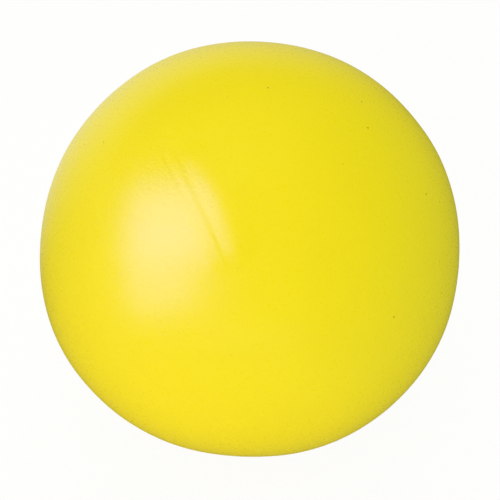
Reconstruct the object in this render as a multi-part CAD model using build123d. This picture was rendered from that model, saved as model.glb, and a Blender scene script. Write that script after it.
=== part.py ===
from build123d import *
import os

# Coated foam dodgeball.
# A moulded foam sphere carries three sprayed coats, each one cured over the one below.
# The origin is the centre of the ball and +Z is up.

# Driving sizes, in millimetres
BALL_DIAMETER = 178.0  # across the finished ball, a 7 inch play ball
COLOUR_COAT_THICKNESS = 0.2  # pigmented satin top coat
SKIN_THICKNESS = 0.6  # tear-resistant elastomer hide, several passes cured into one
BOND_COAT_THICKNESS = 0.2  # soaks into the open cells and holds the skin to the foam

# Each coat starts where the one above it ends, from the outside in
BALL_RADIUS = BALL_DIAMETER / 2
SKIN_RADIUS = BALL_RADIUS - COLOUR_COAT_THICKNESS
BOND_RADIUS = SKIN_RADIUS - SKIN_THICKNESS
FOAM_RADIUS = BOND_RADIUS - BOND_COAT_THICKNESS


def coat(outer_radius, inner_radius):
    """A closed round shell that lies on the ball below it all over."""
    return Sphere(outer_radius) - Sphere(inner_radius)


def foam_core():
    """The solid foam moulding that gives the ball its shape and spring."""
    return Sphere(FOAM_RADIUS)


def bond_coat():
    """The first coat, which closes the foam's open cells."""
    return coat(BOND_RADIUS, FOAM_RADIUS)


def elastomer_skin():
    """The tough hide that stops the foam from tearing."""
    return coat(SKIN_RADIUS, BOND_RADIUS)


def colour_coat():
    """The yellow top coat, the only piece seen from outside."""
    return coat(BALL_RADIUS, SKIN_RADIUS)


PIECES = {
    "foam_core": foam_core(),
    "bond_coat": bond_coat(),
    "elastomer_skin": elastomer_skin(),
    "colour_coat": colour_coat(),
}

os.makedirs("parts", exist_ok=True)
for name, piece in PIECES.items():
    piece.label = name
    export_step(piece, f"parts/{name}.step")
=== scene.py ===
import math
from collections import namedtuple

import bpy
import numpy as np
from mathutils import Matrix, Vector


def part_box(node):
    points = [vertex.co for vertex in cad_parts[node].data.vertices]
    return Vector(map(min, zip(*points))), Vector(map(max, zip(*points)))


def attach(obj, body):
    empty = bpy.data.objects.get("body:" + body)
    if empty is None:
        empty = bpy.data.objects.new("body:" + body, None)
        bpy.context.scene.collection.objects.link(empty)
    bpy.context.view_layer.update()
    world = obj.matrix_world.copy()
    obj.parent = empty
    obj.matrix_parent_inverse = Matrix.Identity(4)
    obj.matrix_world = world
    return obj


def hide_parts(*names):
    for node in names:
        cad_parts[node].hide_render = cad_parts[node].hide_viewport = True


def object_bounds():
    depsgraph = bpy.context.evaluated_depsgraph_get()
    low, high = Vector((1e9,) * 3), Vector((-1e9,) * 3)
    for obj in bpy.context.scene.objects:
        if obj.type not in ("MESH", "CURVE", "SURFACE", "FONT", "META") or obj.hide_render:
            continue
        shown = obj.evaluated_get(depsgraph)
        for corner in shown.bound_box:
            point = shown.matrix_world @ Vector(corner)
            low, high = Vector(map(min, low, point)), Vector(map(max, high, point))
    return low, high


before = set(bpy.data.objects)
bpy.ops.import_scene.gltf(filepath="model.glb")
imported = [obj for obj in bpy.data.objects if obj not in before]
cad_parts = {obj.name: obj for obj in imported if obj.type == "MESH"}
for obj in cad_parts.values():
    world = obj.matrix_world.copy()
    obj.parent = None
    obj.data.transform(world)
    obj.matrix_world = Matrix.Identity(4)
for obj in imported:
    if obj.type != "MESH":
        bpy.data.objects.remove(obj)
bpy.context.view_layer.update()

MM = 0.001
SCENE = bpy.context.scene

# The photograph's frame: a square picture with the ball in its middle, seen from above at a slant
PHOTO_SIDE_PX = 500
BALL_RADIUS_PX = 210.0
CAMERA_ELEVATION = math.radians(50)
LENS_MM = 135.0
SENSOR_MM = 36.0

# The camera's own directions, from the centre of the ball
TOWARD = Vector((0, -math.cos(CAMERA_ELEVATION), math.sin(CAMERA_ELEVATION)))
RIGHT = Vector((1, 0, 0))
UP = TOWARD.cross(RIGHT)

# The coats, from the outside in, and the ball's radius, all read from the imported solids
COATS = ("colour_coat", "elastomer_skin", "bond_coat", "foam_core")
COAT_RADIUS = {name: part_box(name)[1].z for name in COATS}
BALL_RADIUS = COAT_RADIUS["colour_coat"]
BALL_RADIUS_MM = BALL_RADIUS / MM

HALF_VIEW = SENSOR_MM / 2 / LENS_MM
CAMERA_DISTANCE = BALL_RADIUS / math.sin(math.atan(HALF_VIEW * BALL_RADIUS_PX / (PHOTO_SIDE_PX / 2)))

# The moulding is a little out of round about the line of sight: lobes, height in mm, turn in degrees
OUT_OF_ROUND = ((2, 0.52, 17), (3, 0.40, 84), (4, 0.44, 38), (8, 0.16, 20))

# Slow lumps left by the foam under the skin
LUMP_WAVES = 14
LUMP_LENGTH_MM = 26.0
LUMP_LENGTH_SPREAD = (0.7, 1.6)
LUMP_HEIGHT_MM = 0.012
LUMP_SEED = 7

# The shares of its length over which a crease comes up and dies away, and how suddenly a tapered one slims
CREASE_RISES = (-0.05, 0.16)
CREASE_DIES = (1.06, 0.88)
TAPER_POWER = 3

# The mesh: square faces over the whole ball, halved again and again towards the creases and the pinholes
CELLS_PER_SIDE = 48
SAME_POINT_DIGITS = 9
CREASE_REACH_MM = (22.0, 15.0, 6.0, 1.8)
PINHOLE_REACH_MM = (3.2, 1.6, 0.9)

# The pinholes that the photograph shows, by their width in mm, with their pixels
PINHOLES_SEEN = {
    0.70: ((442, 293), (440, 202), (439, 184), (340, 429), (220, 447)),
    0.62: ((368, 128), (394, 317), (362, 102), (426, 194), (440, 261)),
    0.48: ((268, 87), (280, 55), (84, 144), (103, 142), (344, 77)),
    0.30: ((343, 164), (74, 258), (227, 96)),
    0.20: ((286, 319), (238, 268), (242, 373), (231, 355), (162, 334)),
}
# The rest of the ball has them scattered as thickly
PINHOLES_UNSEEN = 40
PINHOLE_SEED = 11
PINHOLE_UNSEEN_MM = (0.25, 0.65)
PINHOLE_UNSEEN_FACING = 0.1  # those face away from the camera, or nearly
PINHOLE_MOUTH = 1.3  # how much wider a pinhole is where the paint has run into it
PINHOLE_CLEARANCE_MM = 0.16
# The open foam cell under a pinhole: its depths in mm, and how much wider than the pinhole it is there
CELL_RINGS = ((0.5, 2.2), (1.0, 2.2), (1.4, 1.0))


def on_ball(px, py):
    """The direction from the ball's centre to the spot that the photograph shows at a pixel."""
    middle = PHOTO_SIDE_PX / 2
    sight = (RIGHT * ((px - middle) / middle) + UP * ((middle - py) / middle)) * HALF_VIEW - TOWARD
    sight.normalize()
    eye = TOWARD * CAMERA_DISTANCE
    along = -eye.dot(sight)
    reach = along ** 2 - eye.length_squared + BALL_RADIUS ** 2
    return (eye + sight * (along - math.sqrt(max(reach, 0.0)))).normalized()


def rise(low, high, value):
    """A smooth step from 0 at low to 1 at high."""
    share = np.clip((value - low) / (high - low), 0, 1)
    return share * share * (3 - 2 * share)


# A swell of slack skin beside a crease: how far it lies to the crease's right, its width on its left and
# right side, and its height at the crease's upper and lower end, all in mm. A height under 0 is a nip
Swell = namedtuple("Swell", "offset left_width right_width upper lower")


class Crease:
    """A soft fold in the skin along an arc of the ball, between swells of the slack skin beside it."""

    def __init__(self, start_px, end_px, bow, taper, swells):
        start, end = on_ball(*start_px), on_ball(*end_px)
        side = start.cross(end).normalized()
        self.start = np.array(start)
        self.side = np.array(side)
        self.onward = np.array(side.cross(start))
        self.length = BALL_RADIUS_MM * start.angle(end)
        self.bow, self.taper, self.swells = bow, taper, swells

    def place(self, directions):
        """How far along the crease, as a share of its length, and how far to its right, in mm."""
        along = np.arctan2(directions @ self.onward, directions @ self.start) * BALL_RADIUS_MM
        aside = np.arcsin(np.clip(directions @ self.side, -1, 1)) * BALL_RADIUS_MM
        share = along / self.length
        return share, aside - self.bow * np.sin(math.pi * np.clip(share, 0, 1))

    def distance(self, directions):
        """How far from the crease's line, in mm."""
        share, aside = self.place(directions)
        beyond = self.length * np.maximum(0, np.abs(share - 0.5) - 0.5)
        return np.hypot(aside, beyond)

    def height(self, directions):
        """The skin's height over the plain ball, in mm."""
        share, aside = self.place(directions)
        slimmer = 1 - self.taper * np.abs(2 * np.clip(share, 0, 1) - 1) ** TAPER_POWER
        total = np.zeros(len(directions))
        for swell in self.swells:
            away = aside / slimmer - swell.offset
            width = np.where(away > 0, swell.right_width, swell.left_width)
            crest = swell.upper + (swell.lower - swell.upper) * np.clip(share, 0, 1)
            total += crest * np.exp(-((away / width) ** 2))
        return total * rise(*CREASE_RISES, share) * rise(*CREASE_DIES, share)


# Each crease: its ends in the photograph, its bow to the right in mm, the share by which it is slimmer at its
# ends, and its swells and nips. The first is the long fold, the next two are the nips along its upper and
# lower part, and the last is the short fold beside it
CREASES = (
    Crease((175, 150), (231.5, 269), 0.55, 0.4, (
        Swell(offset=-6.8, left_width=5.7, right_width=5.7, upper=0.07, lower=0.415),
        Swell(offset=-2.0, left_width=3.0, right_width=1.75, upper=0.10, lower=0.095),
        Swell(offset=7.2, left_width=8.0, right_width=7.8, upper=0.65, lower=1.0))),
    Crease((173, 149), (211.5, 232), 0.0, 0.0, (
        Swell(offset=1.0, left_width=1.5, right_width=2.5, upper=-0.040, lower=-0.018),)),
    Crease((212.5, 232), (226, 267), 0.0, 0.0, (
        Swell(offset=0.4, left_width=0.5, right_width=0.8, upper=-0.040, lower=-0.040),)),
    Crease((160, 150), (187, 202), 0.0, 0.0, (
        Swell(offset=0.6, left_width=1.0, right_width=1.4, upper=-0.045, lower=-0.045),)),
)


def lumps(directions):
    """Slow swells of the foam, as a few crossing waves, in mm."""
    draw = np.random.default_rng(LUMP_SEED)
    total = np.zeros(len(directions))
    for _ in range(LUMP_WAVES):
        heading = draw.normal(size=3)
        heading /= np.linalg.norm(heading)
        turns = BALL_RADIUS_MM / (LUMP_LENGTH_MM * draw.uniform(*LUMP_LENGTH_SPREAD))
        total += np.cos(2 * math.pi * (turns * (directions @ heading) + draw.uniform()))
    return LUMP_HEIGHT_MM * total


def out_of_round(directions):
    """How far the moulding stands out of a true ball, in mm."""
    across, up = directions @ np.array(RIGHT), directions @ np.array(UP)
    rim, turn = np.hypot(across, up), np.arctan2(up, across)
    return sum(height * rim ** lobes * np.cos(lobes * (turn - math.radians(phase)))
               for lobes, height, phase in OUT_OF_ROUND)


def surface(directions, radius, slack=True):
    """Points on a coat's face. The foam under the slack skin keeps its own round."""
    lift = out_of_round(directions) + lumps(directions)
    if slack:
        lift = lift + sum(crease.height(directions) for crease in CREASES)
    return directions * (radius + lift * MM)[:, None]


def cube_sphere(cells):
    """Directions and square faces of a cube blown up to a ball."""
    ticks = np.tan(np.linspace(-math.pi / 4, math.pi / 4, cells + 1))
    across, along = np.meshgrid(ticks, ticks, indexing="ij")
    corner = np.arange((cells + 1) ** 2).reshape(cells + 1, cells + 1)
    around = (corner[:-1, :-1], corner[1:, :-1], corner[1:, 1:], corner[:-1, 1:])
    squares = np.stack(around, -1).reshape(-1, 4)
    sides, faces = [], []
    for axis in range(3):
        for sign in (1, -1):
            side = np.empty((cells + 1, cells + 1, 3))
            side[..., axis] = sign
            side[..., (axis + 1) % 3] = across * sign
            side[..., (axis + 2) % 3] = along
            faces.append(squares + len(sides) * corner.size)
            sides.append(side.reshape(-1, 3))
    rounded = np.round(np.concatenate(sides), SAME_POINT_DIGITS)
    points, merged = np.unique(rounded, axis=0, return_inverse=True)
    points /= np.linalg.norm(points, axis=1)[:, None]
    return points, [tuple(face) for face in merged.reshape(-1)[np.concatenate(faces)].tolist()]


def edges_of(polygon):
    """Each corner of a ring with the next one."""
    return zip(polygon, polygon[1:] + polygon[:1])


def refine(points, polygons, wanted):
    """Splits the wanted square faces in four. Their neighbours gain the new points on shared edges."""
    centres = np.array([points[list(polygon)].mean(axis=0) for polygon in polygons])
    centres /= np.linalg.norm(centres, axis=1)[:, None]
    chosen = [near and len(polygon) == 4 for near, polygon in zip(wanted(centres), polygons)]
    added, halfway = [], {}

    def new_point(corners):
        middle = sum(points[corner] for corner in corners)
        added.append(middle / np.linalg.norm(middle))
        return len(points) + len(added) - 1

    for polygon, split in zip(polygons, chosen):
        if split:
            for edge in edges_of(polygon):
                key = tuple(sorted(edge))
                if key not in halfway:
                    halfway[key] = new_point(edge)
    made = []
    for polygon, split in zip(polygons, chosen):
        middles = [halfway.get(tuple(sorted(edge))) for edge in edges_of(polygon)]
        if split:
            heart = new_point(polygon)
            for turn in range(4):
                made.append((polygon[turn], middles[turn], heart, middles[turn - 1]))
        else:
            ring = [point for pair in zip(polygon, middles) for point in pair if point is not None]
            made.append(tuple(ring))
    return np.concatenate((points, np.array(added).reshape(-1, 3))), made


class Pinhole:
    """A round hole blown through the coats by air from a foam cell."""

    def __init__(self, direction, width_mm):
        self.axis = np.array(direction)
        self.radius = width_mm / 2
        self.across = np.array(Vector(direction).orthogonal().normalized())
        self.up = np.cross(self.axis, self.across)
        self.rim = []
        self.first_turn = 0.0

    def ring(self, scale):
        """Directions round the hole's rim, as many as the faces that were cut away left corners."""
        turns = self.first_turn + 2 * math.pi * np.arange(len(self.rim)) / len(self.rim)
        reach = self.radius * scale / BALL_RADIUS_MM
        ring = self.axis + reach * (np.outer(np.cos(turns), self.across) + np.outer(np.sin(turns), self.up))
        return ring / np.linalg.norm(ring, axis=1)[:, None]

    def distance(self, directions):
        """How far from the hole's middle, in mm."""
        return np.linalg.norm(directions - self.axis, axis=1) * BALL_RADIUS_MM

    def cut(self, points, polygons):
        """Takes away the faces that touch the hole and joins the gap's edge to the hole's rim."""
        reach = self.radius * PINHOLE_MOUTH + PINHOLE_CLEARANCE_MM
        touched = set(np.flatnonzero(self.distance(points) < reach).tolist())
        gone = [polygon for polygon in polygons if not touched.isdisjoint(polygon)]
        kept = [polygon for polygon in polygons if touched.isdisjoint(polygon)]
        inner = {edge for polygon in gone for edge in edges_of(polygon)}
        onward = {a: b for a, b in inner if (b, a) not in inner}
        loop = [next(iter(onward))]
        while onward[loop[-1]] != loop[0]:
            loop.append(onward[loop[-1]])
        first = points[loop[0]]
        self.first_turn = math.atan2(first @ self.up, first @ self.across)
        self.rim = list(range(len(points), len(points) + len(loop)))
        for (a, b), (rim_a, rim_b) in zip(edges_of(loop), edges_of(self.rim)):
            kept.append((a, b, rim_b, rim_a))
        return np.concatenate((points, self.ring(1.0))), kept


def pinholes():
    """The photographed pinholes, then others scattered over the sides that the photograph doesn't show."""
    holes = [Pinhole(on_ball(*pixel), width) for width, pixels in PINHOLES_SEEN.items() for pixel in pixels]
    draw = np.random.default_rng(PINHOLE_SEED)
    while len(holes) < sum(len(pixels) for pixels in PINHOLES_SEEN.values()) + PINHOLES_UNSEEN:
        direction = Vector(draw.normal(size=3)).normalized()
        width = draw.uniform(*PINHOLE_UNSEEN_MM)
        if direction.dot(TOWARD) < PINHOLE_UNSEEN_FACING:
            holes.append(Pinhole(direction, width))
    return holes


def near(marks, spots, reach):
    """Which spots lie within reach of a crease or a pinhole, in mm."""
    return np.min([mark.distance(spots) for mark in marks], axis=0) < reach


def ball_net(holes):
    """The directions and faces that every coat shares, with the pinholes cut out."""
    points, polygons = cube_sphere(CELLS_PER_SIDE)
    for reach in CREASE_REACH_MM:
        points, polygons = refine(points, polygons, lambda spots: near(CREASES, spots, reach))
    for reach in PINHOLE_REACH_MM:
        points, polygons = refine(points, polygons, lambda spots: near(holes, spots, reach))
    for hole in holes:
        points, polygons = hole.cut(points, polygons)
    return drop_loose(points, polygons, holes)


def drop_loose(points, polygons, holes):
    """Takes away the points that the cut faces left behind, and numbers the rest again."""
    used = sorted({corner for polygon in polygons for corner in polygon})
    number = {old: new for new, old in enumerate(used)}
    for hole in holes:
        hole.rim = [number[corner] for corner in hole.rim]
    return points[used], [tuple(number[corner] for corner in polygon) for polygon in polygons], holes


def at_rims(points, holes, scale):
    """The shared directions with every pinhole's rim drawn wider or narrower."""
    moved = points.copy()
    for hole in holes:
        moved[hole.rim] = hole.ring(scale)
    return moved


def add_piece(name, node, points, polygons, flat, material):
    """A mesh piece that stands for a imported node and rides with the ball."""
    mesh = bpy.data.meshes.new(name)
    mesh.from_pydata(points.tolist(), [], polygons)
    smooth = np.ones(len(polygons), bool)
    smooth[flat] = False
    mesh.polygons.foreach_set("use_smooth", smooth)
    mesh.materials.append(material)
    mesh.update()
    piece = bpy.data.objects.new(name, mesh)
    SCENE.collection.objects.link(piece)
    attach(piece, "root")
    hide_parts(node)
    return piece


def coat_piece(name, node, under, net, mouth, material):
    """A closed coat between its own radius and that of the coat under it, with open pinholes."""
    points, polygons, holes = net
    outside = surface(at_rims(points, holes, mouth), COAT_RADIUS[node])
    inside = surface(points, COAT_RADIUS[under])
    count = len(points)
    faces = polygons + [tuple(count + corner for corner in reversed(polygon)) for polygon in polygons]
    walls = [(a, b, count + b, count + a) for hole in holes for a, b in edges_of(hole.rim)]
    flat = np.arange(len(faces), len(faces) + len(walls))
    return add_piece(name, node, np.concatenate((outside, inside)), faces + walls, flat, material)


def foam_piece(name, node, net, material):
    """The foam moulding, with an open cell under every pinhole."""
    points, polygons, holes = net
    rows = [surface(points, COAT_RADIUS[node], slack=False)]
    faces = list(polygons)
    count = len(points)
    for hole in holes:
        above = hole.rim
        for depth, swell in CELL_RINGS:
            ring = surface(hole.ring(swell), COAT_RADIUS[node] - depth * MM, slack=False)
            below = list(range(count, count + len(ring)))
            for (a, b), (low_a, low_b) in zip(edges_of(above), edges_of(below)):
                faces.append((a, b, low_b, low_a))
            rows.append(ring)
            count += len(ring)
            above = below
        faces.append(tuple(above))
    return add_piece(name, node, np.concatenate(rows), faces, [], material)


def linear(hex_colour):
    """An sRGB hex colour as linear red, green, blue and alpha."""
    shares = [int(hex_colour[place:place + 2], 16) / 255 for place in (1, 3, 5)]
    return tuple(s / 12.92 if s <= 0.04045 else ((s + 0.055) / 1.055) ** 2.4 for s in shares) + (1.0,)


def add(tree, kind, inputs=None, **settings):
    """Adds a node, gives it its settings, and sets or links its inputs."""
    made = tree.nodes.new(kind)
    for name, value in settings.items():
        setattr(made, name, value)
    for name, value in (inputs or {}).items():
        if isinstance(value, bpy.types.NodeSocket):
            tree.links.new(value, made.inputs[name])
        else:
            made.inputs[name].default_value = value
    return made


def grain_scale(size_mm):
    """A pattern's scale for features of a real size, with object coordinates in metres."""
    return 1 / (size_mm * MM)


def new_material(name):
    """A material without nodes, and its node tree."""
    material = bpy.data.materials.new(name)
    material.use_nodes = True
    material.node_tree.nodes.clear()
    return material, material.node_tree


def satin_polyurethane_paint():
    """Polyurethane top coat, sprayed in thin passes and cured satin.

    The eye sees an even opaque yellow, a broad soft shine with a pale heart, and in that shine the faint
    orange peel of the spray. The real peel is finer, and is drawn 1.3 mm wide so that it shows.
    """
    material, tree = new_material("satin_polyurethane_paint")
    place = add(tree, "ShaderNodeTexCoord").outputs["Object"]
    peel = add(tree, "ShaderNodeTexNoise", {"Vector": place, "Scale": grain_scale(1.3), "Detail": 2.0})
    passes = add(tree, "ShaderNodeTexNoise", {"Vector": place, "Scale": grain_scale(30.0), "Detail": 2.0})
    colour = add(tree, "ShaderNodeMix", {"Factor": passes.outputs["Fac"], "A": linear("#F8E206"),
                                         "B": linear("#FBE60A")}, data_type="RGBA")
    satin = add(tree, "ShaderNodeMapRange", {"Value": peel.outputs["Fac"], "From Min": 0.35, "From Max": 0.65,
                                             "To Min": 0.27, "To Max": 0.35})
    bump = add(tree, "ShaderNodeBump", {
        "Height": peel.outputs["Fac"], "Strength": 1.0, "Distance": 0.08 * MM})
    shader = add(tree, "ShaderNodeBsdfPrincipled", {
        "Base Color": colour.outputs[2], "Roughness": satin.outputs[0], "IOR": 1.4,
        "Normal": bump.outputs["Normal"]})
    add(tree, "ShaderNodeOutputMaterial", {"Surface": shader.outputs["BSDF"]})
    return material


def polyurethane_elastomer():
    """Tough polyurethane hide, sprayed in passes that flow together.

    It is amber, and cloudier where it is thicker, with a low gloss and slow ripples. It shows only in the
    walls of the pinholes.
    """
    material, tree = new_material("polyurethane_elastomer")
    place = add(tree, "ShaderNodeTexCoord").outputs["Object"]
    cloud = add(tree, "ShaderNodeTexNoise", {"Vector": place, "Scale": grain_scale(12.0), "Detail": 4.0})
    ripple = add(tree, "ShaderNodeTexNoise", {"Vector": place, "Scale": grain_scale(3.0), "Detail": 2.0})
    colour = add(tree, "ShaderNodeMix", {"Factor": cloud.outputs["Fac"], "A": linear("#A8801F"),
                                         "B": linear("#CDA23C")}, data_type="RGBA")
    bump = add(tree, "ShaderNodeBump", {
        "Height": ripple.outputs["Fac"], "Strength": 1.0, "Distance": 0.1 * MM})
    shader = add(tree, "ShaderNodeBsdfPrincipled", {
        "Base Color": colour.outputs[2], "Roughness": 0.42, "IOR": 1.5, "Normal": bump.outputs["Normal"]})
    add(tree, "ShaderNodeOutputMaterial", {"Surface": shader.outputs["BSDF"]})
    return material


def waterborne_bond_coat():
    """Waterborne polyurethane binder, soaked into the face of the foam.

    It dries to a dull cream film that sinks a little into each open cell, darker where it has pooled.
    """
    material, tree = new_material("waterborne_bond_coat")
    place = add(tree, "ShaderNodeTexCoord").outputs["Object"]
    cells = add(tree, "ShaderNodeTexVoronoi", {"Vector": place, "Scale": grain_scale(1.2)})
    pools = add(tree, "ShaderNodeTexNoise", {"Vector": place, "Scale": grain_scale(8.0), "Detail": 3.0})
    colour = add(tree, "ShaderNodeMix", {"Factor": pools.outputs["Fac"], "A": linear("#CDBE8E"),
                                         "B": linear("#E6DBB6")}, data_type="RGBA")
    bump = add(tree, "ShaderNodeBump", {
        "Height": cells.outputs["Distance"], "Strength": 1.0, "Distance": 0.2 * MM})
    shader = add(tree, "ShaderNodeBsdfPrincipled", {
        "Base Color": colour.outputs[2], "Roughness": 0.62, "IOR": 1.48, "Normal": bump.outputs["Normal"]})
    add(tree, "ShaderNodeOutputMaterial", {"Surface": shader.outputs["BSDF"]})
    return material


def flexible_polyurethane_foam():
    """Moulded open-cell foam: a dry pale buff sponge with pale struts, darker towards each cell's middle as
    painted shade in the hollows.

    Real cells are about half a millimetre wide, and are drawn 1 mm wide so that they show.
    """
    material, tree = new_material("flexible_polyurethane_foam")
    place = add(tree, "ShaderNodeTexCoord").outputs["Object"]
    cells = add(tree, "ShaderNodeTexVoronoi", {"Vector": place, "Scale": grain_scale(1.0)},
                feature="DISTANCE_TO_EDGE")
    # The depth into each cell sets both the bump and the colour; the darker deep cell middles are painted
    # shade
    depth = add(tree, "ShaderNodeMapRange", {"Value": cells.outputs["Distance"], "From Max": 0.35})
    colour = add(tree, "ShaderNodeMix", {"Factor": depth.outputs[0], "A": linear("#EFE3B4"),
                                         "B": linear("#B89F5A")}, data_type="RGBA")
    bump = add(tree, "ShaderNodeBump", {
        "Height": depth.outputs[0], "Strength": 1.0, "Distance": 0.3 * MM}, invert=True)
    shader = add(tree, "ShaderNodeBsdfPrincipled", {
        "Base Color": colour.outputs[2], "Roughness": 0.95, "IOR": 1.45, "Normal": bump.outputs["Normal"]})
    add(tree, "ShaderNodeOutputMaterial", {"Surface": shader.outputs["BSDF"]})
    return material


# The floor's share of plain white to the eye and in reflections. The rest is lit board, with the shadow
FLOOR_GLOW = 0.93


def matt_white_board():
    """Matt white painted board, as bright as the photograph's ground, with a faint shadow."""
    material, tree = new_material("matt_white_board")
    path = add(tree, "ShaderNodeLightPath").outputs
    mirrored = add(tree, "ShaderNodeMath", {0: path["Is Glossy Ray"], 1: path["Is Transmission Ray"]},
                   operation="MAXIMUM")
    seen = add(tree, "ShaderNodeMath", {0: path["Is Camera Ray"], 1: mirrored.outputs[0]},
               operation="MAXIMUM")
    share = add(tree, "ShaderNodeMath", {0: seen.outputs[0], 1: FLOOR_GLOW}, operation="MULTIPLY")
    board = add(tree, "ShaderNodeBsdfDiffuse", {"Color": linear("#FCFCFC")})
    glow = add(tree, "ShaderNodeEmission", {"Color": linear("#FFFFFF")})
    mixed = add(tree, "ShaderNodeMixShader", {0: share.outputs[0], 1: board.outputs[0], 2: glow.outputs[0]})
    add(tree, "ShaderNodeOutputMaterial", {"Surface": mixed.outputs[0]})
    return material


# The glowing card's brightness, by degrees round the ball from its right: dark, but pale at the back left.
# Only reflections see it, so it paints the ball's dark rims and pale crescent as painted reflection
CARD_GLOW_SHADES = ((60, "#595959"), (115, "#EBEBEB"), (135, "#EBEBEB"), (162, "#595959"))
RADIAL_AT_RIGHT = 0.5


def glowing_reflection_card():
    """Card that glows from dark to pale and back as it goes round the ball, a painted reflection on the
    ball's rims.

    The shine sees it as bright as it is here, whatever the lamps do.
    """
    material, tree = new_material("glowing_reflection_card")
    place = add(tree, "ShaderNodeTexCoord").outputs["Object"]
    turn = add(tree, "ShaderNodeTexGradient", {"Vector": place}, gradient_type="RADIAL")
    shades = add(tree, "ShaderNodeValToRGB", {"Fac": turn.outputs["Fac"]})
    stops = shades.color_ramp.elements
    while len(stops) < len(CARD_GLOW_SHADES):
        stops.new(1.0)
    for stop, (degrees, shade) in zip(stops, CARD_GLOW_SHADES):
        stop.position = RADIAL_AT_RIGHT + degrees / 360
        stop.color = linear(shade)
    # The card glows: its shades are emission strengths, a painted reflection on the ball
    glow = add(tree, "ShaderNodeEmission", {"Color": shades.outputs["Color"]})
    add(tree, "ShaderNodeOutputMaterial", {"Surface": glow.outputs[0]})
    return material


# The stage, in metres: a round floor that sweeps up into a low wall, and a glowing card laid all over it that
# only reflections see
FLOOR_RADIUS = 2.4
COVE_RADIUS = 0.8
COVE_STEPS = 12
COVE_SIDES = 96
CARD_LIFT = 0.0005


def stage_piece(name, points, polygons, material):
    """A mesh that isn't part of the ball."""
    mesh = bpy.data.meshes.new(name)
    mesh.from_pydata(points, [], polygons)
    mesh.shade_smooth()
    mesh.materials.append(material)
    piece = bpy.data.objects.new(name, mesh)
    SCENE.collection.objects.link(piece)
    return piece


def swept_round(name, height, cove_radius, material):
    """A round sheet that sweeps up all round, so that no edge of it shows from any side."""
    points = []
    for step in range(COVE_STEPS + 1):
        bend = math.pi / 2 * step / COVE_STEPS
        reach = FLOOR_RADIUS + cove_radius * math.sin(bend)
        level = height + cove_radius * (1 - math.cos(bend))
        for side in range(COVE_SIDES):
            turn = 2 * math.pi * side / COVE_SIDES
            points.append((reach * math.cos(turn), reach * math.sin(turn), level))
    polygons = [tuple(range(COVE_SIDES))]
    for step in range(COVE_STEPS):
        low = [step * COVE_SIDES + side for side in range(COVE_SIDES)]
        for a, b in edges_of(low):
            polygons.append((a, a + COVE_SIDES, b + COVE_SIDES, b))
    return stage_piece(name, points, polygons, material)


def white_floor(height):
    """The floor that the ball stands on, at the height of its lowest point."""
    swept_round("floor", height, COVE_RADIUS, matt_white_board())


def reflection_glow_card(height):
    """The glowing card that only the shine sees, a painted reflection. It keeps the ball's rims yellow, but
    for a pale crescent.
    """
    card = swept_round("reflection_glow_card", height + CARD_LIFT, COVE_RADIUS - CARD_LIFT, glowing_reflection_card())
    for ray in ("camera", "diffuse", "shadow", "transmission", "volume_scatter"):
        setattr(card, "visible_" + ray, False)


def lamp(name, aside, above, distance, size, turn, watts, colour):
    """A rectangular lamp that faces the ball, placed in degrees to the right of and above the camera."""
    source = bpy.data.lights.new(name, "AREA")
    source.shape = "RECTANGLE"
    source.size, source.size_y = size
    source.energy = watts
    source.color = colour
    light = bpy.data.objects.new(name, source)
    aside, above = math.radians(aside), math.radians(above)
    level = RIGHT * math.sin(aside) + TOWARD * math.cos(aside)
    out = level * math.cos(above) + UP * math.sin(above)
    across = UP.cross(out).normalized()
    facing = Matrix((across, out.cross(across), out)).transposed()
    light.location = out * distance
    light.rotation_euler = (facing @ Matrix.Rotation(math.radians(turn), 3, "Z")).to_euler()
    light.visible_camera = False
    SCENE.collection.objects.link(light)
    return light


# The softboxes give the shine alone, one over the other: degrees to the right of and above the camera, size
# in metres, and the brightness of the face where 1 is white. They are blue, because the photograph's shine
# adds mostly blue to the yellow
SOFTBOXES = {
    "upper_softbox": (-44.3, 12.6, (0.676, 0.576), 10.8),
    "lower_softbox": (-47.4, -17.0, (0.602, 0.348), 6.4),
}
SOFTBOX_DISTANCE = 0.9
SOFTBOX_TURN = 2.9
SOFTBOX_TINT = (0.19, 0.19, 1.0)

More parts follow.
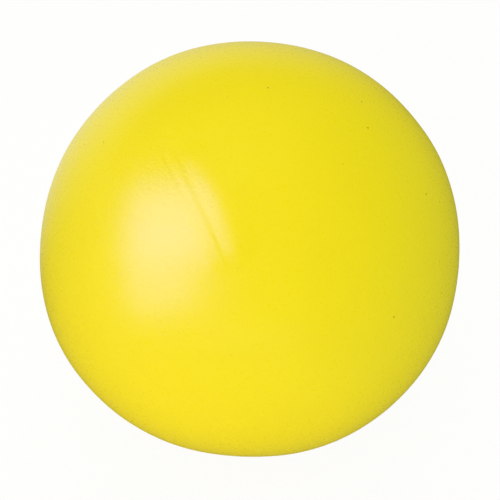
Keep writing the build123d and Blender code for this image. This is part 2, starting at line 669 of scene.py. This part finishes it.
# The soft lamps give the shading alone: degrees to the right of and above the camera, size in metres, and
# how bright each makes a white card that faces it. They are pink
SOFT_LAMPS = {
    "front_left": (-30, -15, (0.9, 0.9), 0.245),
    "overhead": (0, 60, (0.9, 0.9), 0.285),
    "floor_strip": (0, -47, (1.0, 0.2), 0.115),
}
SOFT_LAMP_DISTANCE = 1.2
SOFT_LAMP_TINT = (1.0, 0.71, 0.80)

# The light that comes from all round. It is greenish, and with the lamps comes to about white at the front
ROOM_LIGHT = (0.615, 0.735, 0.50, 1.0)


def studio_light():
    """Two softboxes at the left for the shine, three soft lamps, and even light from all round."""
    for name, (aside, above, size, level) in SOFTBOXES.items():
        face_watts = level * math.pi * size[0] * size[1]
        softbox = lamp(name, aside, above, SOFTBOX_DISTANCE, size, turn=SOFTBOX_TURN, watts=face_watts,
                       colour=SOFTBOX_TINT)
        softbox.visible_diffuse = False
    for name, (aside, above, size, level) in SOFT_LAMPS.items():
        card_watts = level * (math.pi * SOFT_LAMP_DISTANCE) ** 2
        soft = lamp(name, aside, above, SOFT_LAMP_DISTANCE, size, turn=0, watts=card_watts,
                    colour=SOFT_LAMP_TINT)
        soft.visible_glossy = False
    room = bpy.data.worlds.new("room")
    room.use_nodes = True
    room.node_tree.nodes["Background"].inputs["Color"].default_value = ROOM_LIGHT
    SCENE.world = room
    room.cycles_visibility.glossy = False


def photo_camera():
    """The camera that frames the ball as the photograph does."""
    camera = bpy.data.objects.new("camera", bpy.data.cameras.new("camera"))
    camera.data.lens = LENS_MM
    camera.data.sensor_width = SENSOR_MM
    camera.location = TOWARD * CAMERA_DISTANCE
    camera.rotation_euler = (-TOWARD).to_track_quat("-Z", "Y").to_euler()
    SCENE.collection.objects.link(camera)
    SCENE.camera = camera
    SCENE.view_settings.view_transform = "Standard"


net = ball_net(pinholes())
coat_piece("colour_coat_shell", "colour_coat", "elastomer_skin", net, PINHOLE_MOUTH,
           satin_polyurethane_paint())
coat_piece("elastomer_skin_shell", "elastomer_skin", "bond_coat", net, 1.0,
           polyurethane_elastomer())
coat_piece("bond_coat_shell", "bond_coat", "foam_core", net, 1.0, waterborne_bond_coat())
foam = foam_piece("foam_core_moulding", "foam_core", net, flexible_polyurethane_foam())

floor_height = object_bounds()[0].z
white_floor(floor_height)
reflection_glow_card(floor_height)
studio_light()
photo_camera()
